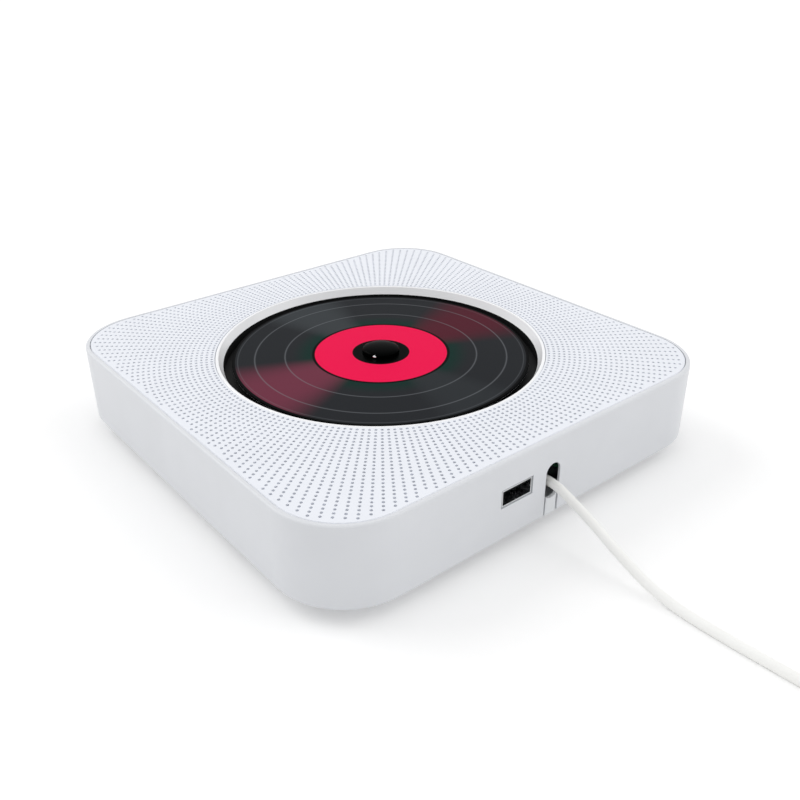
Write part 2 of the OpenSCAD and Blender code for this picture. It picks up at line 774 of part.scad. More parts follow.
module tact_switches() {
  color("#2b2d30") for (y = button_row) {
    translate([-switch_face + 0.8, y - switch_w / 2, button_z - switch_w / 2])
      cube([switch_face - 0.8 - button_board_x, switch_w, switch_w]);
    translate([-switch_face, y, button_z]) rotate([0, 90, 0])
      cylinder(h = 1, d = 0.8 * button_w, $fn = small_fn);
  }
}

// One button: a cap that fills its slot, a flange behind the wall and a stem to its switch
module button_at(i) {
  back = shell_in - 0.1;
  color("#f2f4f8") translate([0, button_row[i], button_z]) {
    translate([-back, 0, 0]) rotate([90, 0, -90]) linear_extrude(cap_face - back) button_shape(0);
    translate([-back, 0, 0]) rotate([90, 0, 90]) linear_extrude(button_flange)
      button_shape(0.9);
  }
}

module audio_jack() {
  color("#1b1c1e") translate([0, jack_y, button_z]) difference() {
    union() {
      translate([-half + 0.2, 0, 0]) rotate([90, 0, 90]) linear_extrude(wall + 0.4)
        round_square(jack_d / 2, jack_corner);
      translate([-shell_in + 0.1, -4.5, -4]) cube([shell_in - button_board_x - 0.1, 9, 8]);
      translate([-button_board_x + board_t, -4.5, -4]) cube([8, 9, 8]);
      translate([-button_board_x - 0.1, -2.8, -2.8]) cube([board_t + 0.2, 5.6, 5.6]);
    }
    translate([-half, 0, 0]) rotate([0, 90, 0])
      cylinder(h = 15, d = jack_bore, $fn = small_fn);
  }
}

// A small dome behind the front plate's holes, on a leg of the button board
module ir_receiver() {
  y = button_row[0] - 6;
  color("#131416") translate([-button_board_x + board_t, y, 0]) {
    translate([0, -2.5, button_z]) cube([3, 5, ledge_z - button_z - 2.4]);
    translate([2.2, 0, ledge_z - 2.4]) intersection() {
      sphere(d = 4.2, $fn = small_fn);
      translate([-3, -3, -1]) cube([6, 6, 4]);
    }
  }
}

// ---- Pull switch and power lead ----

module pull_switch() {
  color("#202225") difference() {
    translate([carriage_x - 12.5, -5, board_top]) cube([10, 10, 5]);
    translate([carriage_x - 9, 0, plunger_z]) rotate([0, 90, 0])
      cylinder(h = 8, d = plunger_d + 2 * fit, $fn = small_fn);
  }
}

module pull_carriage() {
  color("#e8e8e6") {
    difference() {
      translate([carriage_x, -carriage.y / 2, cord_z - carriage.z / 2]) cube(carriage);
      translate([carriage_x + 4, -carriage.y, cord_z + 2.2])
        cube([carriage.x - 7, 2 * carriage.y, carriage.z]);
    }
    translate([carriage_x - 7.5, 0, plunger_z]) rotate([0, 90, 0])
      cylinder(h = 8, d = plunger_d, $fn = small_fn);
  }
}

module strain_relief() {
  color("#ededea") translate([relief_start, 0, cord_z]) rotate([0, 90, 0])
    cylinder(h = relief_end - relief_start, r1 = cord_r + 0.9, r2 = cord_r + 0.3, $fn = small_fn);
}

module power_lead() {
  color("#ededea") tube(lead_route, cord_r, 10);
}

module lead_coil() {
  color("#ededea") tube(coil_route, cord_r, 6);
}

// A flat band round all the turns on the side away from the plug
module lead_tie() {
  low = sqrt(pow(coil_r - coil_pitch / 4, 2) - pow(tie_w / 2, 2)) - cord_r - 0.4;
  high = coil_out - coil_pitch / 4 + cord_r + 0.4;
  top = coil_z + coil_layer + cord_r + 0.1;
  color("#2c2e31") translate([coil_x, coil_y, 0]) difference() {
    translate([low - tie_t, -tie_w / 2, 0]) cube([high - low + 2 * tie_t, tie_w, top + tie_t]);
    translate([low, -tie_w, tie_t]) cube([high - low, 2 * tie_w, top - tie_t]);
  }
}

module usb_plug_body() {
  color("#ededea") translate([tail_end, tail_y, plug_z]) rotate([0, -90, 0]) {
    cylinder(h = plug_relief, r1 = cord_r + 0.5, r2 = cord_r + 1.6, $fn = small_fn);
    translate([0, 0, plug_relief - 0.01]) linear_extrude(plug_body.x)
      round_rect([-plug_body.z / 2, -plug_body.y / 2], [plug_body.z / 2, plug_body.y / 2], 1.5);
  }
}

module usb_plug_shell() {
  start = tail_end - plug_relief - plug_body.x + 0.01;
  color("#c9ccd0") translate([start - plug_shell.x, tail_y, plug_z]) difference() {
    translate([0, -plug_shell.y / 2, -plug_shell.z / 2]) cube(plug_shell);
    translate([-1, -plug_shell.y / 2 + 0.3, -plug_shell.z / 2 + 2.1])
      cube([plug_shell.x - 1, plug_shell.y - 0.6, plug_shell.z - 2.4]);
  }
}

// ---- Disc mechanism ----

module mech_chassis() {
  color("#2f3236") difference() {
    union() {
      translate([0, 0, chassis_low]) linear_extrude(chassis_t) difference() {
        round_rect([chassis_x[0], chassis_y[0]], [chassis_x[1], chassis_y[1]], chassis_r);
        translate([rod_x[0] + rod_post + 1, -window_y])
          square([-spindle_motor_d / 2 - 0.6 - rod_x[0] - rod_post - 1, 2 * window_y]);
      }
      for (x = [rod_x[0], rod_x[1] - rod_post], y = [-rod_y, rod_y]) rod_support(x, y);
    }
    up_cylinder(chassis_low - 1, chassis_t + 2, 6.4);
    for (p = damper_at) translate(p) up_cylinder(chassis_low - 1, chassis_t + 2, damper_neck_d + 0.2);
    translate([gear_x, gear_y, 0]) up_cylinder(chassis_low - 1, chassis_t + 2, axle_d);
    translate([pinion_x, gear_y, 0]) up_cylinder(chassis_low - 1, chassis_t + 2, 5.2);
  }
}

// A post that holds one end of a guide rod
module rod_support(x, y) {
  w = rod_d + 3.4;
  translate([x, y - w / 2, chassis_top - 0.5]) difference() {
    cube([rod_post, w, rod_z + rod_d / 2 + 1 - chassis_top + 0.5]);
    translate([x < -40 ? 1 : -1, w / 2, rod_z - chassis_top + 0.5]) rotate([0, 90, 0])
      cylinder(h = rod_post, d = rod_d + 2 * fit, $fn = small_fn);
  }
}

module guide_rod(s) {
  color("#b9bdc2") translate([rod_x[0] + 1.1, s * rod_y, rod_z]) rotate([0, 90, 0])
    cylinder(h = rod_x[1] - rod_x[0] - 2.2, d = rod_d, $fn = small_fn);
}

module rubber_dampers() {
  mid = chassis_low + chassis_t / 2;
  color("#33363a") for (p = damper_at) translate(p) rotate_extrude($fn = small_fn) polygon([
    [damper_bore / 2, damper_low], [damper_d / 2 - 0.6, damper_low], [damper_d / 2, damper_low + 0.6],
    [damper_d / 2, chassis_low - 0.02], [damper_neck_d / 2, chassis_low - 0.02],
    [damper_neck_d / 2, chassis_top + 0.02], [damper_d / 2, chassis_top + 0.02],
    [damper_d / 2, damper_up - 0.6], [damper_d / 2 - 0.6, damper_up], [damper_bore / 2, damper_up]
  ]);
}

module damper_screws() {
  color("silver") for (p = damper_at) translate(p) {
    up_cylinder(damper_low - 1.2, 1.2, washer_d);
    up_cylinder(damper_low - 0.2, damper_up - damper_low + 3, damper_bore - 0.4);
  }
}

module spindle_motor() {
  color("#aeb3b8") difference() {
    union() {
      up_cylinder(chassis_low - spindle_motor_h, spindle_motor_h, spindle_motor_d, round_fn);
      up_cylinder(chassis_low - 0.1, 2.2, 6);
    }
    up_cylinder(chassis_low - spindle_motor_h + 2, spindle_motor_h + 4, shaft_d + 2 * fit);
  }
}

module spindle_shaft() {
  low = chassis_low - spindle_motor_h + 2.2;
  color("#c9ccd0") up_cylinder(low, turntable_low + 4 - low, shaft_d);
}

module turntable() {
  hub_edge = hub_top - hub_dome;
  color("#111214") difference() {
    rotate_extrude($fn = round_fn) polygon(concat(
      [[0, turntable_low - 3], [sleeve_r, turntable_low - 3], [sleeve_r, turntable_low],
       [turntable_d / 2, turntable_low], [turntable_d / 2, flange_top],
       [turntable_d / 2 - 1, flange_top], [turntable_d / 2 - 1, pad_top - pad_t],
       [hub_r + 1.2, pad_top - pad_t], [hub_r + 1.2, flange_top], [hub_r, flange_top]],
      [for (i = [0:8]) let (a = 90 * i / 8) [hub_r * cos(a), hub_edge + hub_dome * sin(a)]]
    ));
    up_cylinder(turntable_low - 4, 8, shaft_d + 0.04);
    for (k = [0:2]) rotate(120 * k + 60) translate([ball_rest - ball_travel - ball_d / 2, 0, ball_z])
      rotate([0, 90, 0]) cylinder(h = hub_r, d = ball_bore, $fn = small_fn);
  }
}

module turntable_pad() {
  color("#3b3e42") washer(pad_top - pad_t, pad_t, turntable_d - 2.1, disc_bore + 2.4, round_fn);
}

module chuck_ball(k) {
  color("#d9dbde") rotate(120 * k + 60) translate([ball_rest, 0, ball_z])
    sphere(d = ball_d, $fn = small_fn);
}

module compact_disc() {
  color("#17181b") translate([0, 0, disc_low]) difference() {
    rotate_extrude($fn = round_fn) polygon([
      [disc_bore / 2, 0.1], [disc_bore / 2 + 0.1, 0], [disc_d / 2 - 0.2, 0], [disc_d / 2, 0.2],
      [disc_d / 2, disc_t - 0.2], [disc_d / 2 - 0.2, disc_t], [disc_bore / 2 + 0.1, disc_t],
      [disc_bore / 2, disc_t - 0.1]
    ]);
    washer(-0.2, 0.3, 34.6, 33.6, round_fn);
  }
}

// ---- Sled drive ----

// Straight-sided teeth, a little slimmer than their gaps so that meshed wheels keep free
module gear_shape(teeth) {
  r = gear_module * teeth / 2;
  root = r - 1.2 * gear_module;
  tip = r + 0.9 * gear_module;
  pitch = 360 / teeth;
  polygon([for (i = [0:teeth - 1]) each [
    for (p = [[root, -0.3], [r, -0.22], [tip, -0.1], [tip, 0.1], [r, 0.22], [root, 0.3]])
      let (a = pitch * (i + p[1])) [p[0] * cos(a), p[0] * sin(a)]]]);
}

module gear(teeth, low, high, bore, turn) {
  translate([0, 0, low]) linear_extrude(high - low) difference() {
    rotate(turn) gear_shape(teeth);
    circle(d = bore, $fn = small_fn);
  }
}

// The rack's gap faces the small wheel's tooth, and the pinion's gap the large wheel's tooth
module sled_gear() {
  bore = axle_d + 2 * fit;
  color("#f0efe6") translate([gear_x, gear_y, 0]) {
    gear(large_teeth, large_z[0], large_z[1], bore, 180);
    gear(small_teeth, large_z[1] - 0.01, rack_z[1] + 0.2, bore, 90);
  }
}

module motor_pinion() {
  color("#d8c27a") translate([pinion_x, gear_y, 0]) {
    gear(motor_teeth, large_z[0] - 0.1, large_z[1] + 0.15, 1.5, 180 / motor_teeth);
    up_cylinder(chassis_low - 5, large_z[1] + 0.1 - chassis_low + 5, 1.5);
  }
}

module gear_axle() {
  color("#c9ccd0") translate([gear_x, gear_y, 0]) {
    up_cylinder(chassis_low, rack_z[1] + 0.8 - chassis_low, axle_d);
    up_cylinder(rack_z[1] + 0.25, 0.6, axle_d + 1.6);
  }
}

module sled_motor() {
  color("#aeb3b8") translate([pinion_x, gear_y, 0]) difference() {
    union() {
      up_cylinder(chassis_low - 11, 11, sled_motor_d, round_fn);
      up_cylinder(chassis_low - 0.1, 1.2, 5);
    }
    up_cylinder(chassis_low - 5.4, 8, 1.5 + 2 * fit);
  }
}

module rack_shape() {
  count = floor(lens_travel / rack_pitch) + 3;
  for (i = [0:count - 1]) translate([gear_x + (i - 1 + 0.5) * rack_pitch, rack_y]) polygon([
    [-0.3 * rack_pitch, 1.2 * gear_module + 0.01], [-0.22 * rack_pitch, 0],
    [-0.1 * rack_pitch, -0.9 * gear_module], [0.1 * rack_pitch, -0.9 * gear_module],
    [0.22 * rack_pitch, 0], [0.3 * rack_pitch, 1.2 * gear_module + 0.01]
  ]);
  translate([gear_x - rack_pitch, rack_y + 1.2 * gear_module])
    square([count * rack_pitch, 3]);
}

module pickup_rack() {
  color("#f0efe6") {
    translate([0, 0, rack_z[0]]) linear_extrude(rack_z[1] - rack_z[0]) rack_shape();
    translate([-lens_start - 6, rack_y + 2, rack_z[0]])
      cube([14, -rod_y - bush_r + 0.2 - rack_y - 2, rack_z[1] - rack_z[0]]);
  }
}

module pickup_body() {
  front = -lens_start - sled_half;
  back = -lens_start + sled_half;
  color("#1c1e21") difference() {
    union() {
      translate([front, -rod_y + bush_r + 0.4, sled_low])
        cube([2 * sled_half, 2 * (rod_y - bush_r - 0.4), sled_top - sled_low]);
      translate([front + 2, -optics_w / 2, optics_low])
        cube([2 * sled_half - 5, optics_w, sled_low - optics_low + 0.5]);
      for (s = [-1, 1]) translate([front, s * rod_y, rod_z]) rotate([0, 90, 0])
        cylinder(h = 2 * sled_half, r = bush_r, $fn = small_fn);
      for (s = [-1, 1]) translate([front, s > 0 ? rod_y - bush_r - 1 : -rod_y, sled_low])
        cube([2 * sled_half, bush_r + 1, bush_r]);
    }
    for (s = [-1, 1]) translate([front - 1, s * rod_y, rod_z]) rotate([0, 90, 0])
      cylinder(h = 2 * sled_half + 2, d = rod_d + 2 * fit, $fn = small_fn);
    translate([-lens_start - lens_half.x - 0.6, -lens_half.y - 0.6, sled_top - 2.3 - focus_gap])
      cube([2 * lens_half.x + 1.2, 2 * lens_half.y + 1.2, 6]);
    translate([0, 0, sled_low - 1]) cylinder(h = 10, r = sleeve_r + 8.6, $fn = round_fn);
  }
}

module lens_holder() {
  color("#2a2c30") difference() {
    union() {
      translate([-lens_start - lens_half.x, -lens_half.y, sled_top - 2.3])
        cube([2 * lens_half.x, 2 * lens_half.y, lens_tower - 0.6 - sled_top + 2.3]);
      translate([-lens_start, 0, 0]) up_cylinder(lens_tower - 0.7, 0.7 + 0.5, lens_d + 1.3);
    }
    translate([-lens_start, 0, 0]) up_cylinder(lens_tower - 0.4, 4, lens_d + 0.02);
    translate([-lens_start, 0, 0]) up_cylinder(sled_top - 4, 12, lens_d - 1);
  }
}

module objective_lens() {
  color("#7fa6d9", 0.6) translate([-lens_start, 0, lens_tower - 0.4])
    rotate_extrude($fn = small_fn) polygon(concat(
      [[0, 0], [lens_d / 2, 0], [lens_d / 2, 0.7]],
      [for (i = [1:5]) let (a = 90 * i / 5) [lens_d / 2 * cos(a), 0.7 + 0.8 * sin(a)]]
    ));
}

side_shell();
front_plate();
speaker_grille(-1);  // speaker_grille_left
speaker_grille(1);  // speaker_grille_right
disc_well();
rear_cover();
rubber_feet();
cover_screws();
well_screws();
speaker_frame(-1);  // speaker_frame_left
speaker_frame(1);  // speaker_frame_right
speaker_magnet(-1);  // speaker_magnet_left
speaker_magnet(1);  // speaker_magnet_right
speaker_cone(-1);  // speaker_cone_left
speaker_cone(1);  // speaker_cone_right
main_board();
board_screws();
board_parts();
usb_socket();
usb_tongue();
button_board();
tact_switches();
button_at(0);  // button_1
button_at(1);  // button_2
button_at(2);  // button_3
button_at(3);  // button_4
button_at(4);  // button_5
button_at(5);  // button_6
audio_jack();
ir_receiver();
pull_switch();
pull_carriage();
strain_relief();
power_lead();
lead_coil();
lead_tie();
usb_plug_body();
usb_plug_shell();
mech_chassis();
rubber_dampers();
damper_screws();
spindle_motor();
spindle_shaft();
turntable();
turntable_pad();
chuck_ball(0);  // chuck_ball_1
chuck_ball(1);  // chuck_ball_2
chuck_ball(2);  // chuck_ball_3
compact_disc();
sled_motor();
motor_pinion();
sled_gear();
gear_axle();
guide_rod(1);  // guide_rod_main
guide_rod(-1);  // guide_rod_rear
pickup_body();
pickup_rack();
lens_holder();
objective_lens();
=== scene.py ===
"""A wall mounted CD player on its back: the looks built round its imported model, in metres."""

import math
import bpy
from mathutils import Matrix, Vector
from mathutils.geometry import delaunay_2d_cdt


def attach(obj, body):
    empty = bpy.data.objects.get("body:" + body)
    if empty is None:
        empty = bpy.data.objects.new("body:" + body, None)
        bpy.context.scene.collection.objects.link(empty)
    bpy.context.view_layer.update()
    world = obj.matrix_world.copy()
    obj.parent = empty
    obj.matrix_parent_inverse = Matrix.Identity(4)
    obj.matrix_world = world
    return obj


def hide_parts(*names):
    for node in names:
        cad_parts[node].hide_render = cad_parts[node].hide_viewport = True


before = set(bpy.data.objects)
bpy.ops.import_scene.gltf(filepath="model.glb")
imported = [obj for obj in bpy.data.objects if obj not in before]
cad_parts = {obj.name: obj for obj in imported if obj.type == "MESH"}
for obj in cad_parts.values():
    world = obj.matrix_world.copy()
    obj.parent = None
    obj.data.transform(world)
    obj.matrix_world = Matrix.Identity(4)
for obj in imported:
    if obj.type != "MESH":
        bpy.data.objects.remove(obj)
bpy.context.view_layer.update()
scene = bpy.context.scene
scene.view_settings.view_transform = "Standard"

# ---- Camera ----
# A short normal lens a third of a metre away, from the front corner between the port side
# and the left side, turned by half a degree.
camera_target = Vector((0.014813, -0.002212, 0.0185))
camera_azimuth = math.radians(50.915)
camera_elevation = math.radians(28.646)
camera_roll = math.radians(-0.472)
camera_distance = 0.35057
focal_pixels = 868.56
frame_pixels = 800
sensor = 36

camera_data = bpy.data.cameras.new("camera")
camera_data.sensor_width = sensor
camera_data.lens = sensor * focal_pixels / frame_pixels
camera_data.clip_start = 0.01
camera = bpy.data.objects.new("camera", camera_data)
camera_back = Vector((
    math.sin(camera_azimuth) * math.cos(camera_elevation),
    -math.cos(camera_azimuth) * math.cos(camera_elevation),
    math.sin(camera_elevation),
))
camera.matrix_world = (
    Matrix.Translation(camera_target + camera_back * camera_distance)
    @ camera_back.to_track_quat("Z", "Y").to_matrix().to_4x4()
    @ Matrix.Rotation(camera_roll, 4, "Z")
)
scene.collection.objects.link(camera)
scene.camera = camera

# ---- Power lead ----
# A round lead of 3.4 mm with an off-white PVC sleeve, extruded over its cores. It leaves through
# the slot, bends down under its own weight and runs along the table; the length that isn't in
# use is wound into a coil and held by a tie.
mm = 0.001
lead_r = 1.7 * mm
coil_pitch = 3.9 * mm
coil_in = 15.5 * mm
coil_turns = 4
coil_climb = 0.5
coil_length = 2 * coil_turns + coil_climb
coil_steps = 24
coil_out = coil_in + coil_turns * coil_pitch
coil_x = 222 * mm
coil_lift = 0.6 * mm
coil_low = lead_r + coil_lift
tail_y = 2 * coil_out

lead_down = [
    (90, 0, 18.6), (94.5, 0, 18.6), (98, 0, 18), (102, 0, 16.5), (106, 0, 15),
    (111, -0.2, 13.1), (116, -0.5, 11.2), (121, -0.9, 9.2), (127, -1.3, 6.9), (133, -1.7, 4.8),
    (139, -2, 3.2), (145, -2.2, 2.3), (152, -2.3, 1.7), (164, -2.1, 1.7), (177, -1.4, 1.7),
    (189, -0.6, 1.7), (200, -0.1, 2), (211.8, 0, 2.3), (215.2, 0, 2.3), (218.6, 0, 2.3),
]
lead_route = [Vector(point) * mm for point in lead_down]


def coil_point(turn):
    """The coil spirals in, climbs a layer where it reverses, and spirals out again."""
    climb = min(max(turn - coil_turns, 0), coil_climb) / coil_climb
    radius = coil_out - coil_pitch * min(turn, coil_length - turn)
    angle = math.tau * turn - math.pi / 2
    height = coil_low + coil_pitch * (1 - math.cos(math.pi * climb)) / 2
    return Vector((coil_x + radius * math.cos(angle), coil_out + radius * math.sin(angle), height))


for step in range(round(coil_length * coil_steps) + 1):
    lead_route.append(coil_point(step / coil_steps))
for back, height in ((5, 5.9), (9, 5.2), (13, 4.2), (14.6, 4), (18, 4)):
    lead_route.append(Vector((coil_x - back * mm, tail_y, height * mm)))


def round_tube(name, points, radius):
    """A round tube along one open spline through the points."""
    curve = bpy.data.curves.new(name, "CURVE")
    curve.dimensions = "3D"
    curve.bevel_depth = radius
    curve.bevel_resolution = 5
    curve.resolution_u = 3
    curve.use_fill_caps = True
    spline = curve.splines.new("BEZIER")
    spline.bezier_points.add(len(points) - 1)
    for bezier, point in zip(spline.bezier_points, points):
        bezier.co = point
        bezier.handle_left_type = bezier.handle_right_type = "AUTO"
    piece = bpy.data.objects.new(name, curve)
    scene.collection.objects.link(piece)
    return piece


def linear(colour):
    """An sRGB hex colour as the linear values that a shader takes."""
    parts = [int(colour[at:at + 2], 16) / 255 for at in (1, 3, 5)]
    return [c / 12.92 if c <= 0.04045 else ((c + 0.055) / 1.055) ** 2.4 for c in parts] + [1.0]


def add_node(tree, kind, inputs=None, **settings):
    """Adds a node with its settings; an input is a value or another node's output."""
    node = tree.nodes.new(kind)
    for name, value in settings.items():
        setattr(node, name, value)
    for name, value in (inputs or {}).items():
        if isinstance(value, bpy.types.NodeSocket):
            tree.links.new(value, node.inputs[name])
        else:
            node.inputs[name].default_value = value
    return node


def new_material(name):
    material = bpy.data.materials.new(name)
    material.use_nodes = True
    material.node_tree.nodes.clear()
    return material, material.node_tree


def grain(tree, size):
    """Even grain of a real size in metres, fixed to the piece."""
    coords = add_node(tree, "ShaderNodeTexCoord")
    return add_node(tree, "ShaderNodeTexNoise", {
        "Vector": coords.outputs["Object"], "Scale": 1 / size,
    }).outputs["Fac"]


def between(tree, factor, low, high):
    """A value that runs from low to high as the factor crosses its middle."""
    return add_node(tree, "ShaderNodeMapRange", {
        "Value": factor, "From Min": 0.3, "From Max": 0.7, "To Min": low, "To Max": high,
    }).outputs["Result"]


def blend_colours(tree, factor, first, second):
    """One colour into another: each is a hex colour or another node's output."""
    mix = add_node(tree, "ShaderNodeMix", {"Factor": factor}, data_type="RGBA")
    socket_a, socket_b, mixed = mix.inputs[6], mix.inputs[7], mix.outputs[2]
    for socket, colour in ((socket_a, first), (socket_b, second)):
        if isinstance(colour, str):
            socket.default_value = linear(colour)
        else:
            tree.links.new(colour, socket)
    return mixed


def surface(tree, colour, roughness, height=None, depth=0.0, **uniform):
    """The shader: what varies is linked, and what is the same all over is set on its socket."""
    shader = add_node(tree, "ShaderNodeBsdfPrincipled", {
        "Base Color": colour, "Roughness": roughness,
    })
    for name, value in uniform.items():
        shader.inputs[name.replace("_", " ")].default_value = value
    if height is not None:
        bump = add_node(tree, "ShaderNodeBump", {
            "Height": height, "Strength": 1.0, "Distance": depth,
        })
        tree.links.new(bump.outputs["Normal"], shader.inputs["Normal"])
    add_node(tree, "ShaderNodeOutputMaterial", {"Surface": shader.outputs[0]})
    return shader


flow_clouds = 22 * mm


def moulded(name, colour, shade, roughness, grain_size, depth, ior=1.53, specular=0.5):
    """Injection moulded plastic: an even colour with slight flow clouds and the tool's grain."""
    material, tree = new_material(name)
    clouds = between(tree, grain(tree, flow_clouds), 0.0, 1.0)
    fine = grain(tree, grain_size)
    surface(
        tree, blend_colours(tree, clouds, colour, shade),
        between(tree, fine, roughness - 0.04, roughness + 0.04),
        height=fine, depth=depth, IOR=ior, Specular_IOR_Level=specular,
    )
    return material


def dress(material, *names):
    """Gives CAD nodes their finish."""
    for name in names:
        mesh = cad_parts[name].data
        mesh.materials.clear()
        mesh.materials.append(material)


# PVC sleeve: soft satin, off-white, with a faint extrusion grain.
sleeve_pvc = moulded("off_white_pvc", "#FDFDFB", "#F9F9F6", 0.42, 0.8 * mm, 0.012 * mm)
power_lead = round_tube("power_lead_sleeve", lead_route, lead_r)
power_lead.data.materials.append(sleeve_pvc)
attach(power_lead, "lead")
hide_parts("power_lead", "lead_coil")
dress(sleeve_pvc, "strain_relief", "usb_plug_body")

# ---- Plug and tie ----
# The plug's shell and the USB socket are deep drawn steel, nickel plated: bright, with a
# faint brushed haze. The tie is woven nylon tape.


def plated_steel(name, colour, roughness):
    material, tree = new_material(name)
    haze = grain(tree, 1.2 * mm)
    surface(
        tree, blend_colours(tree, haze, colour, "#C9CCCF"),
        between(tree, haze, roughness - 0.05, roughness + 0.06), Metallic=1.0,
    )
    return material


def woven_tape(name, colour, thread):
    """Plain weave: warp and weft as crossed waves at the thread's spacing."""
    material, tree = new_material(name)
    coords = add_node(tree, "ShaderNodeTexCoord")
    waves = [add_node(tree, "ShaderNodeTexWave", {
        "Vector": coords.outputs["Object"], "Scale": 1 / (10 * thread),
    }, bands_direction=direction).outputs["Fac"] for direction in ("X", "Y")]
    weave = add_node(tree, "ShaderNodeMath", {0: waves[0], 1: waves[1]}, operation="MULTIPLY")
    surface(
        tree, blend_colours(tree, weave.outputs[0], colour, "#3A3C40"), 0.85,
        height=weave.outputs[0], depth=0.08 * mm, Sheen_Weight=0.3,
    )
    return material


nickel = plated_steel("nickel_plated_steel", "#DDDEDF", 0.22)
dress(nickel, "usb_plug_shell", "usb_socket")
dress(woven_tape("black_nylon_tape", "#1B1C1E", 0.5 * mm), "lead_tie")

# ---- Side shell ----
# Injection moulded ABS, white and satin: the side wall, its rounded rim, the ledge and the bosses
# in one piece. Its white is set greyer than the front plate's: painted shade on the side walls. The
# tool's fine spark grain scatters the light a little.
abs_white_painted_shade = moulded("white_abs_painted_shade", "#DFE1E5", "#DCDEE2", 0.36, 0.45 * mm, 0.006 * mm)
dress(abs_white_painted_shade, "side_shell")

# ---- Front plate ----
# The same ABS with a slight blue cast, pierced by radial rows of holes on rings round the
# disc. It is laid on the shell's ledge, a hair's gap inside the rim.
plate_half = 92.55 * mm
plate_corner = 25.25 * mm
plate_low = 35 * mm
plate_top = 37 * mm
plate_edge = 0.3 * mm
well_hole = 66.45 * mm
hole_rows = 200
ring_pitch = 2 * mm
first_ring = 67.6 * mm
hole_r = 0.56 * mm
hole_margin = 1.1 * mm
hole_sides = 10
hole_chamfer = 0.06 * mm
well_sides = 256


def rounded_square(half, corner, steps=24):
    """The outline's points, anticlockwise from the middle of the first corner's arc."""
    middle = half - corner
    points = []
    for quarter in range(4):
        side = Vector((middle, middle))
        side.rotate(Matrix.Rotation(quarter * math.pi / 2, 2))
        for step in range(steps + 1):
            angle = (quarter + step / steps) * math.pi / 2
            points.append(side + corner * Vector((math.cos(angle), math.sin(angle))))
    return points


def in_rounded_square(point, half, corner):
    x = max(abs(point.x) - (half - corner), 0)
    y = max(abs(point.y) - (half - corner), 0)
    return math.hypot(x, y) <= corner


def circle_points(centre, radius, count, start=0.0):
    turns = [start + math.tau * step / count for step in range(count)]
    return [centre + radius * Vector((math.cos(turn), math.sin(turn))) for turn in turns]


def hole_centres():
    """Each hole's centre and its row's angle, on all rings that reach into the corners."""
    keep = hole_margin + hole_r
    reach = math.hypot(plate_half, plate_half) - first_ring
    for ring in range(math.ceil(reach / ring_pitch)):
        radius = first_ring + ring * ring_pitch
        for row in range(hole_rows):
            angle = math.tau * row / hole_rows
            centre = radius * Vector((math.cos(angle), math.sin(angle)))
            if in_rounded_square(centre, plate_half - keep, plate_corner - keep):
                yield centre, angle


def mesh_piece(name, vertices, faces):
    mesh = bpy.data.meshes.new(name)
    mesh.from_pydata(vertices, [], faces)
    mesh.update()
    piece = bpy.data.objects.new(name, mesh)
    scene.collection.objects.link(piece)
    return piece


def pierced_plate(name):
    """The plate's two faces, filled round every hole, joined by the edge's and holes' walls."""
    loops = [(rounded_square(plate_half - plate_edge, plate_corner - plate_edge),
              rounded_square(plate_half, plate_corner), plate_edge)]
    origin = Vector((0, 0))
    loops.append((circle_points(origin, well_hole + hole_chamfer, well_sides),
                  circle_points(origin, well_hole, well_sides), hole_chamfer))
    for centre, angle in hole_centres():
        loops.append((circle_points(centre, hole_r + hole_chamfer, hole_sides, angle),
                      circle_points(centre, hole_r, hole_sides, angle), hole_chamfer))
    top_points, low_points, heights, edges, loop_of = [], [], [], [], []
    faces = []
    total = sum(len(top) for top, _, _ in loops)
    for number, (top, low, drop) in enumerate(loops):
        start, count = len(top_points), len(top)
        top_points += top
        low_points += low
        heights += [plate_top - drop] * count
        loop_of += [number] * count
        for at in range(count):
            here, there = start + at, start + (at + 1) % count
            edges.append((here, there))
            for ring in (0, total):
                wall = [here + ring, here + ring + total, there + ring + total, there + ring]
                faces.append(wall if number == 0 else wall[::-1])
    inside_outline, weld = 1, 1e-9
    for points, first, up in ((top_points, 0, True), (low_points, 2 * total, False)):
        _, _, triangles, made_from, _, _ = delaunay_2d_cdt(
            points, edges, [], inside_outline, weld)
        for triangle in triangles:
            corners = [made_from[at][0] for at in triangle]
            around = {loop_of[at] for at in corners}
            if len(around) == 1 and 0 not in around:
                continue
            faces.append([at + first for at in (corners if up else corners[::-1])])
    vertices = [(p.x, p.y, plate_top) for p in top_points]
    vertices += [(p.x, p.y, height) for p, height in zip(low_points, heights)]
    vertices += [(p.x, p.y, plate_low) for p in low_points]
    return mesh_piece(name, vertices, faces)


plate_abs = moulded("blue_white_abs", "#EEF1F8", "#EBEEF5", 0.40, 0.45 * mm, 0.006 * mm)
front_plate = pierced_plate("pierced_front_plate")
front_plate.data.materials.append(plate_abs)
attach(front_plate, "player")
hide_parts("front_plate", "speaker_grille_left", "speaker_grille_right")

# ---- Disc well ----
# The fine lip and the sloping band are polished white ABS. The bowl below the throat's edge is
# coloured black as painted shade, so that the gap round the disc is dark.
throat_r = 63.4 * mm
throat_z = 33.8 * mm
throat_slack = 0.2 * mm
gloss_abs = moulded("polished_white_abs", "#FAFBFD", "#F8F9FB", 0.16, 1.5 * mm, 0.002 * mm)
painted_shade_bowl = moulded(
    "painted_shade_matt_black", "#0B0C0D", "#0E0F10", 0.6, 0.5 * mm, 0.01 * mm, specular=0.2)
dress(gloss_abs, "disc_well")
well_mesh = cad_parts["disc_well"].data
well_mesh.materials.append(painted_shade_bowl)
# Painted shade: faces of the bowl below the throat's edge take the black.
for face in well_mesh.polygons:
    inside = math.hypot(face.center.x, face.center.y) < throat_r + throat_slack
    if inside and face.center.z < throat_z:
        face.material_index = 1
